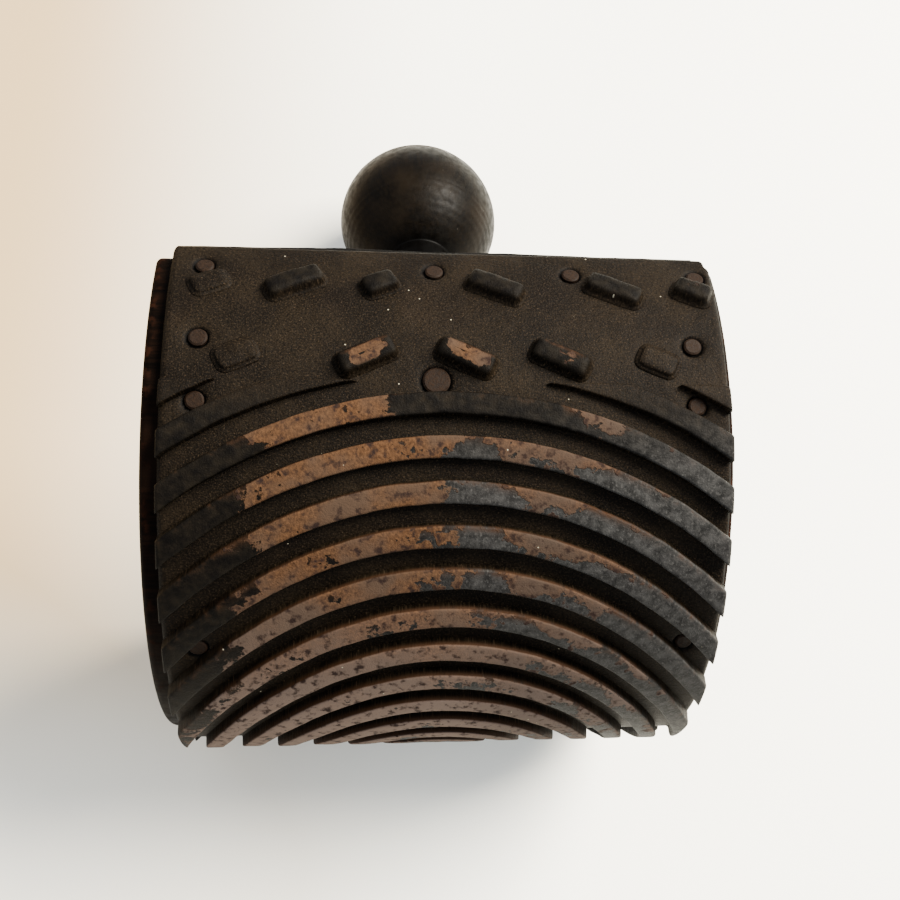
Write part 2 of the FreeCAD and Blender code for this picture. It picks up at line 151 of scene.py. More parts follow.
def area_light(name, place, target, breadth, power, colour):
    """A square soft light at a place, turned to its target."""
    lamp = bpy.data.lights.new(name, "AREA")
    lamp.size = breadth
    lamp.energy = power
    lamp.color = colour
    holder = bpy.data.objects.new(name, lamp)
    back = np.array(place) - np.array(target)
    back /= np.linalg.norm(back)
    side = np.cross([0.0, 0.0, 1.0], back)
    side /= np.linalg.norm(side)
    turn = np.column_stack([side, np.cross(back, side), back])
    holder.matrix_world = Matrix.Translation(place) @ Matrix(turn.tolist()).to_4x4()
    scene.collection.objects.link(holder)


area_light("window_light", (0.72, 0.30, 0.98), (0.0, -0.02, 0.05), 0.70, 120.0, (1.0, 0.94, 0.83))

# ------------------------------------------------------------------ Camera
# It looks steeply down on the working face from in front and a little to the left.
camera_place = np.array([-18.70, -162.17, 383.05]) * MM
camera_azimuth, camera_elevation, camera_roll = radians(18.014), radians(64.588), radians(16.915)
ahead = np.array([np.sin(camera_azimuth) * np.cos(camera_elevation),
                  np.cos(camera_azimuth) * np.cos(camera_elevation), -np.sin(camera_elevation)])
level = np.cross(ahead, [0.0, 0.0, 1.0])
level /= np.linalg.norm(level)
upward = np.cross(level, ahead)
camera_right = np.cos(camera_roll) * level + np.sin(camera_roll) * upward
camera_up = np.cos(camera_roll) * upward - np.sin(camera_roll) * level
camera_data = bpy.data.cameras.new("camera")
camera_data.sensor_width = 36.0
camera_data.lens = 48.76
camera_data.shift_x = -0.0833
camera_data.shift_y = -0.0178
camera = bpy.data.objects.new("camera", camera_data)
camera_turn = np.column_stack([camera_right, camera_up, -ahead])
camera.matrix_world = Matrix.Translation(camera_place.tolist()) @ Matrix(camera_turn.tolist()).to_4x4()
scene.collection.objects.link(camera)
scene.camera = camera

# ------------------------------------------------------------------ Rubber sheet
# The ground of the moulded pad: 3 mm of dark rubber bent round the block, a little
# uneven, with a wavy cut edge at the top and a sunk seat round each nail's head.
PAD_SHIFT, PAD_WIDTH = 1.3, 127.0
BLOCK_RADIUS, FACE_RADIUS, CROWN_RADIUS = 69.0, 72.0, 75.0
AXIS_Y, AXIS_Z = -30.27183, 68.90847  # where the block's round axis lies on the table
LAID_TURN = radians(90 - 21.251690)  # how far the face is tipped back from upward
TOP_EDGE = radians(91.4) * CROWN_RADIUS
FAR_EDGE = -radians(88.0) * CROWN_RADIUS
HEART = -48.3  # along the face, where all ridges have their middle
STRETCH = 1.1  # how much longer the ovals are along the face than across it
CORNER_ROUND = 2.5
FIELD_END = TOP_EDGE - 40.0  # the ridges end here and the strip of dashes begins
NAIL_SEAT, TACK_SEAT, SEAT_DEPTH, SEAT_GAP = 2.2, 3.2, 1.25, 0.55
HALF_WIDTH = PAD_WIDTH / 2
FULL_RISE = 2.8  # a height that counts as the top of a ridge


def laid(across, along, height):
    """Places in metres: across from the pad's middle, along the face from its middle
    towards the dashes as measured at the ridge tops, and height above the sheet's
    face. The along distance is turned into an angle, the point is set out at the
    face's radius plus height, and the tool is then tipped back and set on the table."""
    turn = along / CROWN_RADIUS
    radius = FACE_RADIUS + height
    out, front = radius * np.sin(turn), radius * np.cos(turn)
    y = out * np.cos(LAID_TURN) - front * np.sin(LAID_TURN) + AXIS_Y
    z = out * np.sin(LAID_TURN) + front * np.cos(LAID_TURN) + AXIS_Z
    return np.stack([across + PAD_SHIFT + 0 * along, y, z], axis=-1) * MM


def unevenness(across, along, pitch, seed):
    """Smooth random values from -1 to 1: random numbers at the crossings of a square
    net of the given pitch, eased from crossing to crossing."""
    table = np.random.default_rng(seed).uniform(-1, 1, (64, 64))
    u, v = across / pitch + 300.37, along / pitch + 300.61
    i, j = np.floor(u).astype(int), np.floor(v).astype(int)
    fu, fv = u - i, v - j
    fu, fv = fu * fu * (3 - 2 * fu), fv * fv * (3 - 2 * fv)
    corner = [[table[(i + a) % 64, (j + b) % 64] for b in (0, 1)] for a in (0, 1)]
    near = corner[0][0] * (1 - fv) + corner[0][1] * fv
    far = corner[1][0] * (1 - fv) + corner[1][1] * fv
    return near * (1 - fu) + far * fu


def nail_spots():
    """Across and along of every nail's head, read off the nails themselves."""
    spots = []
    for name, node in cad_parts.items():
        if not name.startswith(("nail_", "tack_")):
            continue
        points = np.empty(len(node.data.vertices) * 3)
        node.data.vertices.foreach_get("co", points)
        points = points.reshape(-1, 3) / MM - [PAD_SHIFT, AXIS_Y, AXIS_Z]
        out = points[:, 1] * np.cos(LAID_TURN) + points[:, 2] * np.sin(LAID_TURN)
        front = points[:, 2] * np.cos(LAID_TURN) - points[:, 1] * np.sin(LAID_TURN)
        head = np.hypot(out, front) > FACE_RADIUS - 1.0
        centre = points[head, 0].mean()
        along = np.arctan2(out[head].mean(), front[head].mean()) * CROWN_RADIUS
        spots.append((centre, along, TACK_SEAT if name.startswith("tack_") else NAIL_SEAT))
    return spots


def ground_height(across, along):
    """Height of the sheet's face: gentle waves, edges rubbed round, and a flat seat
    under each nail's head with the rubber drawn down towards it."""
    height = 0.10 * unevenness(across, along, 17.0, 1) + 0.04 * unevenness(across, along, 3.1, 2) - 0.08
    edge = np.minimum(HALF_WIDTH - np.abs(across), np.minimum(TOP_EDGE - along, along - FAR_EDGE))
    height = height - 0.7 * np.clip(1 - edge / 1.2, 0, 1) ** 2
    for centre, middle, radius in nail_spots():
        reach = np.hypot(across - centre + 0.15, (along - middle + 0.25) * FACE_RADIUS / CROWN_RADIUS)
        height = height - 0.35 * np.exp(-((reach / (radius + 1.6)) ** 4))
        seat = np.clip((radius + SEAT_GAP - reach) / 0.4, 0, 1)
        height = np.minimum(height, height * (1 - seat) - SEAT_DEPTH * seat)
    return height


# Wear from left to right of each band of ridges: places across, and the wear there.
OUTERMOST_WEAR = ([-63, -50, -36, -20, -6, 24, 30, 34, 40], [0, 0.15, 0.8, 1, 0.1, 0.1, 0.8, 0.8, 0.1])
UPPER_WEAR = ([-63, -52, -36, -2, 4, 6, 13, 38, 48, 63],
              [0.1, 0.2, 0.95, 0.95, 0.45, 0.45, 0.80, 0.68, 0.35, 0.15])
LOWER_WEAR = ([-63, -52, -45, 20, 42, 63], [0.55, 0.8, 1.0, 0.92, 0.6, 0.3])


def wear_field(across, along):
    """How far the black paint has rubbed off, from 0 to 1: read from three bands of
    ridges, each with its own run of rubbed and painted stretches from left to right,
    shifted sideways and softened by random patches. The last ridges keep their paint."""
    reach = np.hypot(STRETCH * across, along - HEART)
    across = across + 4.5 * unevenness(across, along, 8.0, 21) + 1.4 * unevenness(across, along, 2.7, 22)
    outermost, upper, lower = (np.interp(across, *band) for band in (OUTERMOST_WEAR, UPPER_WEAR, LOWER_WEAR))
    to_upper = np.clip((reach - 70) / 14, 0, 1)
    to_outermost = np.clip((reach - 117) / 2, 0, 1)
    wear = lower * (1 - to_upper) + upper * to_upper
    wear = wear * (1 - to_outermost) + outermost * to_outermost
    wear = wear * np.clip((129 - reach) / 3, 0, 1)
    return np.clip(wear + 0.16 * unevenness(across, along, 11.0, 5), 0, 1)


def mark(piece, across, along, rise, outer, wear=None):
    """Stores on every point its flat place on the pad, how high it stands, its wear
    (the field's own, if none is given) and how far it is on a ridge's outer wall."""
    wear = wear_field(across, along) if wear is None else wear
    mesh = piece.data
    flat = np.stack([across, along, 0 * along], axis=-1) * MM
    mesh.attributes.new("flat", "FLOAT_VECTOR", "POINT").data.foreach_set("vector", flat.ravel())
    for name, values in (("rise", rise), ("wear", wear), ("outer", outer)):
        layer = mesh.attributes.new(name, "FLOAT", "POINT").data
        layer.foreach_set("value", values.ravel().astype(np.float32))


def grid_faces(rows, columns, first=0):
    """Corner numbers of a grid of points laid out row by row."""
    number = first + np.arange(rows * columns).reshape(rows, columns)
    corners = [number[:-1, :-1], number[:-1, 1:], number[1:, 1:], number[1:, :-1]]
    return np.stack(corners, axis=-1).reshape(-1, 4)


sheet_across = np.linspace(-HALF_WIDTH, HALF_WIDTH, 251)
sheet_along = np.concatenate([np.linspace(FAR_EDGE, FIELD_END - 3, 215)[:-1],
                              np.linspace(FIELD_END - 3, TOP_EDGE, 101)])
across, along = np.meshgrid(sheet_across, sheet_along)
top_share = np.clip((along - FIELD_END) / (TOP_EDGE - FIELD_END), 0, 1) ** 3
# The top edge was cut by hand: how far it stands out at places across.
EDGE_WAVE = ([-63, -40, -24, -5, 14, 38, 57], [0.3, 0.9, 1.4, 0.7, 1.1, 0.5, 0.5])
wave = np.interp(across, *EDGE_WAVE)
wave = wave + 0.12 * unevenness(across, 0 * along, 3.0, 4)
along = along + top_share * wave
from_top = np.clip(TOP_EDGE - along, 0, CORNER_ROUND)
inset = CORNER_ROUND - np.sqrt(CORNER_ROUND ** 2 - (CORNER_ROUND - from_top) ** 2)
notch = 1.2 * np.clip((4.2 - (TOP_EDGE - along)) / 0.8, 0, 1) * (across > 0)
across = across * (1 - (inset + notch) / HALF_WIDTH)
height = ground_height(across, along)
rows, columns = across.shape
top_points = laid(across, along, height).reshape(-1, 3)
underside = np.full(rows, BLOCK_RADIUS - FACE_RADIUS + 0.02)
left_under = laid(across[:, 0], along[:, 0], underside)
right_under = laid(across[:, -1], along[:, -1], underside)
count = rows * columns
faces = grid_faces(rows, columns).tolist()
left, right = count + np.arange(rows), count + rows + np.arange(rows)
left_top, right_top = np.arange(rows) * columns, np.arange(rows) * columns + columns - 1
faces += np.stack([left_top[:-1], left_top[1:], left[1:], left[:-1]], axis=-1).tolist()
faces += np.stack([right_top[1:], right_top[:-1], right[:-1], right[1:]], axis=-1).tolist()
faces += np.stack([left[:-1], left[1:], right[1:], right[:-1]], axis=-1).tolist()
faces.append([int(left[0])] + [int(right[0])] + list(range(columns - 1, -1, -1)))
faces.append([int(right[-1])] + [int(left[-1])] + list(range(count - columns, count)))
sheet = new_piece("pad_sheet", np.concatenate([top_points, left_under, right_under]), faces)


def with_sides(values):
    """The grid's values, followed by those of its left and of its right side again."""
    return np.concatenate([values.ravel(), values[:, 0], values[:, -1]])


mark(sheet, with_sides(across), with_sides(along),
     np.concatenate([height.ravel() / FULL_RISE, np.full(2 * rows, -1.0)]), np.zeros(count + 2 * rows))

rubber, tree, surface = material("pad_rubber_worn_painted_shading")
flat = add(tree, "ShaderNodeAttribute", attribute_name="flat").outputs["Vector"]
rise = add(tree, "ShaderNodeAttribute", attribute_name="rise").outputs["Fac"]
wear = add(tree, "ShaderNodeAttribute", attribute_name="wear").outputs["Fac"]
outer = add(tree, "ShaderNodeAttribute", attribute_name="outer").outputs["Fac"]
broad = grain(tree, flat, 70.0, 3.0, 0.5)
middling = grain(tree, flat, 420.0, 4.0, 0.6)
fine = grain(tree, flat, 2600.0, 3.0, 0.6)
streaks = grain(tree, stretched(tree, flat, (1.0, 0.7, 1.0)), 1700.0, 3.0, 0.6)
on_top = ramp(tree, rise, 0.80, 0.97)
amount = reckon(tree, "ADD", reckon(tree, "MULTIPLY", broad, 1.3), reckon(tree, "MULTIPLY", middling, 0.75))
amount = reckon(tree, "ADD", amount, reckon(tree, "MULTIPLY", wear, 0.62))
amount = reckon(tree, "ADD", amount, reckon(tree, "MULTIPLY", outer, 0.07))
flaked = reckon(tree, "MULTIPLY", ramp(tree, amount, 1.40, 1.45), on_top)
edge_rub = reckon(tree, "MULTIPLY", reckon(tree, "MULTIPLY", outer, ramp(tree, rise, 0.25, 0.9)),
                  ramp(tree, reckon(tree, "ADD", middling, reckon(tree, "MULTIPLY", wear, 0.5)), 0.55, 0.95))
ground = blend(tree, ramp(tree, broad, 0.35, 0.7), (0.0016, 0.0010, 0.0005), (0.0056, 0.0037, 0.0019))
ground = blend(tree, ramp(tree, fine, 0.45, 0.8), ground, (0.0125, 0.0086, 0.0048))
dust = ramp(tree, grain(tree, flat, 2400.0, 3.0, 0.7), 0.56, 0.68)
ground = blend(tree, reckon(tree, "MULTIPLY", dust, 0.50), ground, (0.040, 0.026, 0.015))
grit = ramp(tree, grain(tree, flat, 1700.0, 3.0, 0.7), 0.50, 0.60)
ground = blend(tree, reckon(tree, "MULTIPLY", grit, 0.75), ground, (0.0009, 0.0006, 0.0004))
# Painted shade: the sheet turns near black where it sinks low, in the nails' seats, along its rubbed-round
# edges and down its sides.
ground = blend(tree, ramp(tree, rise, -0.10, -0.30), ground, (0.0006, 0.0004, 0.0003))
flat_parts = add(tree, "ShaderNodeSeparateXYZ", {"Vector": flat}).outputs
paint = blend(tree, ramp(tree, middling, 0.3, 0.75), (0.0062, 0.0060, 0.0057), (0.0235, 0.0228, 0.0218))
paint = blend(tree, ramp(tree, streaks, 0.5, 0.8), paint, (0.036, 0.0345, 0.0325))
# Painted shade: the paint is darker and warmer left of the middle, away from the light on the right; the
# same darker paint also covers the upper ridges and the dashes.
dark_paint = blend(tree, ramp(tree, middling, 0.3, 0.75), (0.0010, 0.0007, 0.0005), (0.0048, 0.0036, 0.0022))
left_shade_and_top = reckon(tree, "MAXIMUM", ramp(tree, flat_parts["X"], 0.012, -0.030),
                 ramp(tree, flat_parts["Y"], 0.055, 0.075))
paint = blend(tree, left_shade_and_top, paint, dark_paint)
bare = blend(tree, ramp(tree, streaks, 0.3, 0.7), (0.024, 0.0115, 0.0055), (0.055, 0.0270, 0.0125))
bare = blend(tree, ramp(tree, broad, 0.4, 0.65), bare, (0.032, 0.0200, 0.0130))
# Painted light: the bare rubber turns lighter and greyer towards the far edge, for fill light from the table
# and sheen on the lowest rings.
bare = blend(tree, ramp(tree, flat_parts["Y"], 0.040, -0.015, 0.0, 0.80), bare, (0.090, 0.066, 0.054))
bare = blend(tree, ramp(tree, flat_parts["X"], 0.0, 0.020, 0.0, 0.40), bare, (0.022, 0.0175, 0.0150))
bare = blend(tree, ramp(tree, middling, 0.50, 0.68), bare, (0.0105, 0.0062, 0.0050))
colour = blend(tree, ramp(tree, rise, 0.5, 0.95), ground, paint)
colour = blend(tree, edge_rub, colour, (0.017, 0.0078, 0.0036))
colour = blend(tree, flaked, colour, bare)
specks = add(tree, "ShaderNodeTexVoronoi", {"Vector": flat, "Scale": 420.0}, feature="F1")
speck_size = add(tree, "ShaderNodeSeparateColor", {"Color": specks.outputs["Color"]}).outputs["Red"]
speck = reckon(tree, "MULTIPLY", ramp(tree, specks.outputs["Distance"], 0.09, 0.05),
               ramp(tree, speck_size, 0.945, 0.955))
colour = blend(tree, speck, colour, (0.20, 0.18, 0.13))
tree.links.new(colour, surface.inputs["Base Color"])
dullness = ramp(tree, reckon(tree, "ADD", fine, flaked), 0.2, 1.4, 0.52, 0.88)
tree.links.new(dullness, surface.inputs["Roughness"])
relief = reckon(tree, "ADD", reckon(tree, "MULTIPLY", fine, 0.5), reckon(tree, "MULTIPLY", middling, 0.9))
relief = reckon(tree, "SUBTRACT", relief, reckon(tree, "MULTIPLY", flaked, 0.8))
surface.inputs["Specular IOR Level"].default_value = 0.03
bumped(tree, surface, relief, 0.0003, 0.9)
sheet.data.materials.append(rubber)
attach(sheet, "root")
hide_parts("rubber_pad")

# ------------------------------------------------------------------ Oval ridges
# Fifteen moulded ridges round the heart, one each 10 mm, each 5.4 mm broad and 3 mm
# high, cut off flush at the pad's sides, its far edge and the strip of dashes.
PITCH, LAND, RIDGES, RIDGE_STEP, TINY = 10.0, 5.4, 15, 0.62, 0.02
OUTER_REACH = 12 * PITCH  # ridges beyond this sink towards the strip of dashes
# From a ridge's inner foot to the middle of its top: distance from the foot, and
# height. The outer half is the same, turned about the middle.
half_section = [(-0.05, -0.5), (-0.05, 0.0), (0.06, 0.35), (0.10, 1.2), (0.14, 2.1), (0.20, 2.55),
                (0.36, 2.85), (0.66, 2.96), (1.5, 3.0), (2.7, 3.0)]
section_in = np.array([p for p, _ in half_section] + [LAND - p for p, _ in half_section[-2::-1]])
section_up = np.array([h for _, h in half_section] + [h for _, h in half_section[-2::-1]])
section_outer = np.clip((section_in - 3.6) / 1.2, 0, 1)


def side_angle(reach):
    """Angle, from the line through the heart towards the dashes, at which an oval of
    this reach meets the pad's side: the arc sine of the side's distance over reach."""
    return np.arcsin(np.clip(STRETCH * HALF_WIDTH / reach, -1, 1))


def strip_angle(reach):
    """Angle at which an oval meets the strip of dashes: the arc cosine of the strip's
    distance over reach, and nothing where the oval doesn't come so far."""
    return np.arccos(np.clip((FIELD_END - HEART) / reach, -1, 1))


def foot_angle(reach):
    """Angle at which an oval meets the pad's far edge, in the same way."""
    return np.arccos(np.clip((FAR_EDGE - HEART) / reach, -1, 1))


def ridge_pieces(number):
    """The separate lengths of one ridge: for each, whether it is a whole oval, and its
    start and end angles as functions of reach."""
    inner, outer = number * PITCH, number * PITCH + LAND
    if outer <= min(STRETCH * HALF_WIDTH, HEART - FAR_EDGE):
        return [(True, lambda reach: -np.pi + 0 * reach, lambda reach: np.pi + 0 * reach)]
    pieces = []
    if strip_angle(outer) == 0:
        pieces.append((False, lambda reach: -side_angle(reach), side_angle))
    elif strip_angle(outer) < side_angle(outer):
        pieces.append((False, strip_angle, side_angle))
        pieces.append((False, lambda reach: -side_angle(reach), lambda reach: -strip_angle(reach)))
    if np.pi - side_angle(inner) < foot_angle(inner):
        pieces.append((False, lambda reach: np.pi - side_angle(reach), foot_angle))
        pieces.append((False, lambda reach: -foot_angle(reach), lambda reach: side_angle(reach) - np.pi))
    return pieces


def ridge_grid(reach, start, end):
    """Across, along and height of a length of ridge: its section is set out at even
    angles from start to end, across being reach times the sine over the stretch and
    along the heart plus reach times the cosine. Away from its ends it wavers a
    little, and its top is worn down where the paint is gone."""
    span = float(np.max((end - start) * np.maximum(reach, 3.0)))
    share = np.linspace(0, 1, max(int(span / RIDGE_STEP), 3) + 1)
    ring = np.broadcast_to(reach, (len(share), len(reach)))
    angle = start + share[:, None] * (end - start)
    across, along = ring * np.sin(angle) / STRETCH, HEART + ring * np.cos(angle)
    wobble = 0.13 * unevenness(across, along, 6.0, 11) + 0.05 * unevenness(across, along, 1.7, 12)
    wobble = wobble * np.clip(section_up + 0.2, 0, 1)
    from_side = np.clip((HALF_WIDTH - np.abs(across)) / 2.0, 0, 1)
    from_foot = np.clip(np.minimum(along - FAR_EDGE, FIELD_END - along) / 2.0, 0, 1)
    ring = ring + wobble * (from_side * from_foot)
    across, along = ring * np.sin(angle) / STRETCH, HEART + ring * np.cos(angle)
    up = np.broadcast_to(section_up, ring.shape).copy()
    topmost = np.clip((up - 2.4) / 0.5, 0, 1)
    worn = wear_field(across, along)
    if reach[0] > OUTER_REACH:
        up -= 1.3 * np.clip((along - FIELD_END + 12) / 12, 0, 1) * np.clip(up, 0, 3) / 3
    up -= topmost * (0.10 + 0.22 * worn * (0.5 + 0.5 * unevenness(across, along, 9.0, 13)))
    return across, along, up, worn, share


ridge_points, ridge_faces, ridge_facts, first = [], [], [], 0
for number in range(RIDGES):
    reach = number * PITCH + section_in
    if number == 0:
        # The first ridge is a round boss, whose inner wall shrinks to the heart.
        reach = np.maximum(reach, TINY) * np.linspace(0, 1, len(section_in)) ** 0.01
    for whole, start_of, end_of in ridge_pieces(number):
        start = start_of(np.maximum(reach, TINY))
        end = np.maximum(end_of(np.maximum(reach, TINY)), start)
        across, along, up, worn, share = ridge_grid(reach, start, end)
        end_gap = np.minimum(share, 1 - share)[:, None] * (end - start) * np.maximum(reach, 1)
        if not whole:
            up -= 0.55 * np.clip(1 - end_gap / 0.9, 0, 1) ** 2 * np.clip(up / 3, 0, 1)
        rows, columns = up.shape
        ridge_points.append(laid(across, along, up).reshape(-1, 3))
        ridge_faces += grid_faces(rows, columns, first).tolist()
        number_of = first + np.arange(rows * columns).reshape(rows, columns)
        underneath = [number_of[:-1, -1], number_of[:-1, 0], number_of[1:, 0], number_of[1:, -1]]
        ridge_faces += np.stack(underneath, axis=-1).tolist()
        if not whole:
            ridge_faces.append(number_of[0, ::-1].tolist())
            ridge_faces.append(number_of[-1].tolist())
        sheltered = np.clip(across / 22, 0, 1) * np.clip((3.3 - section_in) / 1.6, 0, 1)
        worn = np.clip(worn - 0.32 * sheltered * np.clip((reach - 40) / 30, 0, 1), 0, 1)
        outer = np.broadcast_to(section_outer, up.shape)
        ridge_facts.append(np.stack([values.ravel() for values in (
            across, along, np.clip(up / FULL_RISE, -1, 1), outer, worn)]))
        first += rows * columns
facts = np.concatenate(ridge_facts, axis=1)
ridges = new_piece("pad_ridges", np.concatenate(ridge_points), ridge_faces)
mark(ridges, *facts)
ridges.data.materials.append(rubber)
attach(ridges, "root")
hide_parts("rubber_pad")

# ------------------------------------------------------------------ Short dashes
# Two rows of moulded dashes on the plain strip; the outer ones have worn down to
# low stubs, the others keep a flat top with rubbed edges.
TOP_ROW, SECOND_ROW = 13.7, 33.7
DASH_LENGTH, DASH_BREADTH, DASH_CORNER, DASH_LEAN = 13.4, 5.4, 1.6, radians(25)
HIGHEST, SUNK = 2.98, 0.10  # no dash passes the first, and their tops have worn by the second
# Place across as a share of the width, row, share of the full length, height, bareness.
dashes = [(-0.429, TOP_ROW, 0.60, 1.3, 0.0), (-0.280, TOP_ROW, 1.00, 3.0, 0.1),
          (-0.128, TOP_ROW, 0.60, 2.9, 0.0), (0.083, TOP_ROW, 1.00, 3.0, 0.2),
          (0.304, TOP_ROW, 1.00, 2.8, 0.1), (0.453, TOP_ROW, 0.65, 3.0, 0.3),
          (-0.375, SECOND_ROW, 0.65, 1.1, 0.0), (-0.150, SECOND_ROW, 1.00, 3.0, 1.1),
          (0.025, SECOND_ROW, 1.00, 3.0, 1.0), (0.194, SECOND_ROW, 1.00, 3.0, 0.9),
          (0.373, SECOND_ROW, 0.65, 1.4, 0.0)]


def dash_points(width_share, down, share, tall, seed):
    """One dash: rings of a rounded oblong, each drawn in a little further and set a
    little higher than the one before, closed by a low dome; the whole is turned so
    that its outer end points down towards the ridges."""
    middle_across = width_share * PAD_WIDTH
    middle_along = TOP_EDGE - down
    lean = -np.copysign(DASH_LEAN, middle_across)
    half_length, half_breadth = DASH_LENGTH * share / 2, DASH_BREADTH / 2
    steps = [(-1.00, -0.5), (-0.95, 0.04), (-0.55, 0.22), (-0.25, tall * 0.24), (-0.05, tall * 0.45),
             (0.12, tall * 0.66), (0.40, tall * 0.83), (0.85, tall * 0.93), (1.5, tall * 0.98), (2.45, tall)]
    turn = np.linspace(0, 2 * np.pi, 97)[:-1]
    rings = []
    for drawn_in, high in steps:
        corner = max(DASH_CORNER - drawn_in, 0.2)
        a, b = half_length - drawn_in - corner, max(half_breadth - drawn_in - corner, 0.02)
        x = np.sign(np.cos(turn)) * a * np.clip(np.abs(np.cos(turn)) * 3, 0, 1) + corner * np.cos(turn)
        y = np.sign(np.sin(turn)) * b * np.clip(np.abs(np.sin(turn)) * 3, 0, 1) + corner * np.sin(turn)
        rings.append(np.stack([x, y, np.full_like(x, high)]))
    x, y, up = np.stack(rings, axis=1)
    across = middle_across + x * np.cos(lean) - y * np.sin(lean)
    along = middle_along + x * np.sin(lean) + y * np.cos(lean)
    rough = 0.26 * unevenness(across, along, 2.6, seed) * np.clip(up / tall, 0, 1)
    worn_up = np.minimum(up + rough - SUNK * (up > 1), HIGHEST)
    return across, along, worn_up, up / tall, x / half_length, y


dash_all, dash_faces, dash_facts, first = [], [], [], 0
for seed, (width_share, down, share, tall, bareness) in enumerate(dashes, 30):
    across, along, up, part, lengthwise, side = dash_points(width_share, down, share, tall, seed)
    rows, columns = across.shape
    dash_all.append(laid(across, along, up).reshape(-1, 3))
    number_of = first + np.arange(rows * columns).reshape(rows, columns)
    wrapped = np.concatenate([number_of, number_of[:, :1]], axis=1)
    dash_faces += np.stack([wrapped[:-1, :-1], wrapped[:-1, 1:], wrapped[1:, 1:], wrapped[1:, :-1]],
                           axis=-1).reshape(-1, 4).tolist()
    dash_faces.append(number_of[-1].tolist())
    dash_faces.append(number_of[0, ::-1].tolist())
    bare_spot = bareness * (1 - lengthwise ** 2) * (1 - (side / 3.2) ** 2)
    dash_facts.append(np.stack([values.ravel() for values in (
        across, along, part * min(tall / 2.6, 1), (side > 1.5).astype(float), bare_spot)]))
    first += rows * columns
facts = np.concatenate(dash_facts, axis=1)
dash_piece = new_piece("pad_dashes", np.concatenate(dash_all), dash_faces)
mark(dash_piece, *facts)
dash_piece.data.materials.append(rubber)
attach(dash_piece, "root")
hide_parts("rubber_pad")

# ------------------------------------------------------------------ Wooden block
# A half round of close-grained wood, stained nearly black, its grain along the round
# axis; the stain has rubbed through to reddish wood along the edges.
block_wood, tree, surface = material("block_wood_worn")
where = add(tree, "ShaderNodeTexCoord").outputs["Object"]
round_axis = (0.0, AXIS_Y * MM, AXIS_Z * MM)
centred = add(tree, "ShaderNodeVectorMath", {0: where, 1: round_axis}, operation="SUBTRACT").outputs[0]
axes = add(tree, "ShaderNodeSeparateXYZ", {"Vector": centred}).outputs
radial = add(tree, "ShaderNodeCombineXYZ", {"Y": axes["Y"], "Z": axes["Z"]}).outputs["Vector"]
radial = add(tree, "ShaderNodeVectorMath", {0: radial}, operation="LENGTH").outputs["Value"]
end_near = ramp(tree, reckon(tree, "ABSOLUTE", axes["X"]), 0.0635, 0.0660)
round_near = ramp(tree, radial, 0.0660, 0.0685)
fibres = grain(tree, stretched(tree, where, (0.06, 1.0, 1.0)), 900.0, 5.0, 0.6)
figure = grain(tree, stretched(tree, where, (0.15, 1.0, 1.0)), 110.0, 3.0, 0.5)
scuffs = grain(tree, where, 260.0, 4.0, 0.6)
colour = blend(tree, ramp(tree, fibres, 0.35, 0.7), (0.0010, 0.0006, 0.0004), (0.0042, 0.0019, 0.0010))
colour = blend(tree, ramp(tree, figure, 0.45, 0.7), colour, (0.0042, 0.0020, 0.0011))
on_edge = reckon(tree, "MULTIPLY", end_near, round_near)
rubbed = reckon(tree, "MULTIPLY", on_edge, ramp(tree, scuffs, 0.50, 0.66))
colour = blend(tree, rubbed, colour, (0.0120, 0.0042, 0.0020))
tree.links.new(colour, surface.inputs["Base Color"])
tree.links.new(ramp(tree, scuffs, 0.3, 0.8, 0.42, 0.7), surface.inputs["Roughness"])
surface.inputs["Specular IOR Level"].default_value = 0.012
bumped(tree, surface, reckon(tree, "ADD", fibres, reckon(tree, "MULTIPLY", scuffs, 0.5)), 0.00015, 0.8)
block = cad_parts["wooden_block"]
for place in block.material_slots:
    place.material = block_wood

# ------------------------------------------------------------------ Handle
# Turned in one piece: tenon, collar, cove, swelling grip, neck and the ball for the
# palm, blackened and polished by the hand, with a fine ring cut round the ball.
BALL_REACH, BALL_RADIUS, BACK_DROP = 117.0, 26.5, 2.0
TENON_RADIUS, TENON_LENGTH, COLLAR_RADIUS, COLLAR_LENGTH = 9.5, 24.0, 19.0, 7.0
COVE_LENGTH, COVE_RADIUS, GRIP_RADIUS, NECK_RADIUS, NECK_LENGTH = 8.0, 12.0, 15.5, 10.5, 10.0
RING_TURN, RING_DEPTH, RING_SPREAD = radians(65), 0.45, 0.018  # the turn is from the ball's end


def arc_points(start, end, radius, count):
    """Points of an arc between two points of a profile; its centre stands off the
    chord by the root of radius squared less half the chord squared, to the left of
    the way for a positive radius and to the right for a negative one."""
    start, end = np.array(start, float), np.array(end, float)
    chord = end - start
    half = np.linalg.norm(chord) / 2
    left = np.array([-chord[1], chord[0]]) / (2 * half)
    centre = (start + end) / 2 + left * np.sign(radius) * np.sqrt(max(radius ** 2 - half ** 2, 0))
    first = np.arctan2(*(start - centre)[::-1])
    last = np.arctan2(*(end - centre)[::-1])
    sweep = (last - first + np.pi) % (2 * np.pi) - np.pi
    turn = first + sweep * np.linspace(0, 1, count)
    return centre + abs(radius) * np.stack([np.cos(turn), np.sin(turn)], axis=-1)


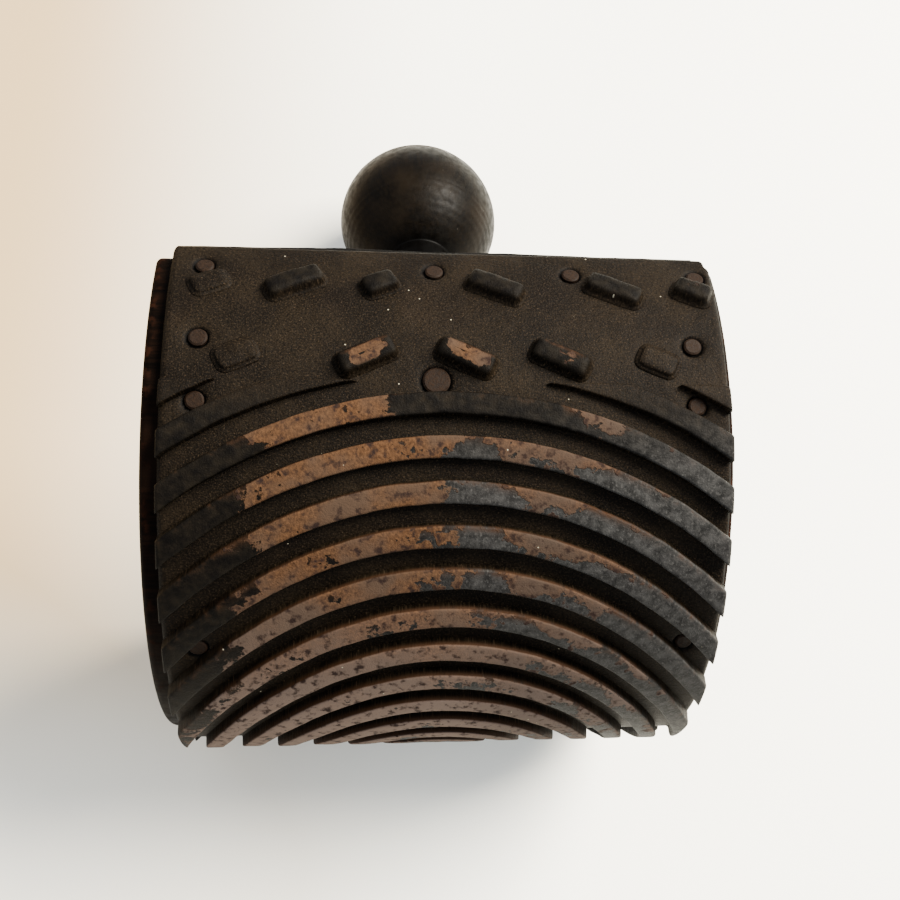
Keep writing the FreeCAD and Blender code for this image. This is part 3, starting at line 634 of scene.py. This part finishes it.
tenon_end = BACK_DROP - TENON_LENGTH
collar_foot = BACK_DROP + COLLAR_LENGTH
cove_end = collar_foot + COVE_LENGTH
neck_start = BALL_REACH - BALL_RADIUS - NECK_LENGTH
meeting = BALL_REACH - np.sqrt(BALL_RADIUS ** 2 - NECK_RADIUS ** 2)
half_grip = (neck_start - cove_end) / 2
bow = (half_grip ** 2 + (GRIP_RADIUS - NECK_RADIUS) ** 2) / (2 * (GRIP_RADIUS - NECK_RADIUS))
polar = np.linspace(np.arccos((BALL_REACH - meeting) / BALL_RADIUS), np.pi, 150)
ring_cut = RING_DEPTH * np.exp(-(((np.pi - polar) - RING_TURN) / RING_SPREAD) ** 2)
ball_size = BALL_RADIUS - ring_cut
ball_curve = np.stack([ball_size * np.sin(polar), BALL_REACH - ball_size * np.cos(polar)], axis=-1)
profile = np.concatenate([
    [[TENON_RADIUS - 0.3, tenon_end], [TENON_RADIUS, tenon_end + 0.3],
     [TENON_RADIUS, BACK_DROP - 0.05], [TENON_RADIUS, BACK_DROP],
     [COLLAR_RADIUS - 0.8, BACK_DROP], [COLLAR_RADIUS - 0.2, BACK_DROP + 0.25],
     [COLLAR_RADIUS, BACK_DROP + 0.8], [COLLAR_RADIUS, collar_foot - 0.8],
     [COLLAR_RADIUS - 0.25, collar_foot - 0.2]],
    arc_points((COLLAR_RADIUS - 0.6, collar_foot), (NECK_RADIUS, cove_end), -COVE_RADIUS, 14),
    arc_points((NECK_RADIUS, cove_end), (NECK_RADIUS, neck_start), bow, 60)[1:],
    [[NECK_RADIUS, meeting - 0.6]],
    ball_curve[:-1],
])
around = np.linspace(0, 2 * np.pi, 145)[:-1]
ripple = 0.03 * np.sin(profile[:, 1] * 2.9) * (profile[:, 0] < 25) * (profile[:, 0] > 9.6)
radius = np.maximum(profile[:, 0] + ripple - 0.03, 0)
ring_x = radius[:, None] * np.cos(around)
ring_out = radius[:, None] * np.sin(around)
ring_front = np.broadcast_to(-profile[:, 1:2], ring_x.shape)
handle_points = np.stack([
    ring_x,
    ring_out * np.cos(LAID_TURN) - ring_front * np.sin(LAID_TURN) + AXIS_Y,
    ring_out * np.sin(LAID_TURN) + ring_front * np.cos(LAID_TURN) + AXIS_Z], axis=-1) * MM
rows, columns = handle_points.shape[:2]
number_of = np.arange(rows * columns).reshape(rows, columns)
wrapped = np.concatenate([number_of, number_of[:, :1]], axis=1)
faces = np.stack([wrapped[:-1, 1:], wrapped[:-1, :-1], wrapped[1:, :-1], wrapped[1:, 1:]], axis=-1)
faces = faces.reshape(-1, 4).tolist() + [number_of[0].tolist(), number_of[-1, ::-1].tolist()]
handle = new_piece("turned_handle", handle_points.reshape(-1, 3), faces)
length_along = np.repeat(profile[:, 1], columns).astype(np.float32)
handle.data.attributes.new("reach", "FLOAT", "POINT").data.foreach_set("value", length_along)

handle_wood, tree, surface = material("handle_wood_worn")
where = add(tree, "ShaderNodeTexCoord").outputs["Object"]
reach = add(tree, "ShaderNodeAttribute", attribute_name="reach").outputs["Fac"]
turned_back = add(tree, "ShaderNodeMapping",
                  {"Vector": where, "Rotation": (-LAID_TURN, 0.0, 0.0)}).outputs["Vector"]
fibres = grain(tree, stretched(tree, turned_back, (1.0, 1.0, 0.07)), 900.0, 5.0, 0.6)
clouds = grain(tree, where, 60.0, 4.0, 0.55)
scuffs = grain(tree, where, 380.0, 5.0, 0.65)
colour = blend(tree, ramp(tree, fibres, 0.35, 0.7), (0.0009, 0.0006, 0.0003), (0.0026, 0.0017, 0.0008))
colour = blend(tree, ramp(tree, clouds, 0.45, 0.75), colour, (0.0048, 0.0032, 0.0017))
ring_low = BALL_REACH + BALL_RADIUS * float(np.cos(RING_TURN))
near_ring = ramp(tree, reckon(tree, "ABSOLUTE", reckon(tree, "SUBTRACT", reach, ring_low)), 3.2, 0.6)
near_ring = reckon(tree, "MULTIPLY", near_ring, ramp(tree, clouds, 0.3, 0.6))
colour = blend(tree, near_ring, colour, (0.020, 0.0125, 0.0062))
specks = add(tree, "ShaderNodeTexVoronoi", {"Vector": where, "Scale": 420.0}, feature="F1")
speck_size = add(tree, "ShaderNodeSeparateColor", {"Color": specks.outputs["Color"]}).outputs["Red"]
speck = reckon(tree, "MULTIPLY", ramp(tree, specks.outputs["Distance"], 0.12, 0.06),
               ramp(tree, speck_size, 0.93, 0.95))
colour = blend(tree, speck, colour, (0.024, 0.021, 0.017))
neck_shade = reckon(tree, "MULTIPLY", ramp(tree, reach, meeting + 3.5, meeting - 0.5),
                    ramp(tree, reach, meeting - 15.0, meeting - 7.0))
colour = blend(tree, neck_shade, colour, (0.0004, 0.0003, 0.0002))
tree.links.new(colour, surface.inputs["Base Color"])
tree.links.new(ramp(tree, scuffs, 0.3, 0.75, 0.34, 0.60), surface.inputs["Roughness"])
surface.inputs["Specular IOR Level"].default_value = 0.035
bumped(tree, surface, reckon(tree, "ADD", fibres, scuffs), 0.0001, 0.6)
handle.data.materials.append(handle_wood)
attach(handle, "root")
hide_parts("handle")

# ------------------------------------------------------------------ Nails, tack and screw
# Cut nails and one large tack of plain iron, their flat heads rusted brown; the
# handle's screw under the pad is plain steel with a little brown in its slot.
rust, tree, surface = material("nail_iron_rusty")
where = add(tree, "ShaderNodeTexCoord").outputs["Object"]
pits = grain(tree, where, 1500.0, 5.0, 0.65)
blotches = grain(tree, where, 260.0, 3.0, 0.5)
colour = blend(tree, ramp(tree, pits, 0.35, 0.7), (0.0045, 0.0024, 0.0013), (0.0105, 0.0055, 0.0030))
colour = blend(tree, ramp(tree, blotches, 0.5, 0.7), colour, (0.0078, 0.0045, 0.0028))
tree.links.new(colour, surface.inputs["Base Color"])
surface.inputs["Specular IOR Level"].default_value = 0.05
tree.links.new(ramp(tree, pits, 0.3, 0.8, 0.5, 0.85), surface.inputs["Roughness"])
bumped(tree, surface, pits, 0.0002, 0.8)
steel, tree, surface = material("screw_steel_dull")
where = add(tree, "ShaderNodeTexCoord").outputs["Object"]
stains = grain(tree, where, 700.0, 4.0, 0.6)
tree.links.new(blend(tree, ramp(tree, stains, 0.5, 0.7), (0.36, 0.35, 0.33), (0.12, 0.07, 0.045)),
               surface.inputs["Base Color"])
surface.inputs["Metallic"].default_value = 0.85
tree.links.new(ramp(tree, stains, 0.4, 0.8, 0.35, 0.7), surface.inputs["Roughness"])
for name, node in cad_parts.items():
    if name.startswith(("nail_", "tack_")):
        for place in node.material_slots:
            place.material = rust
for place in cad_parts["handle_screw"].material_slots:
    place.material = steel
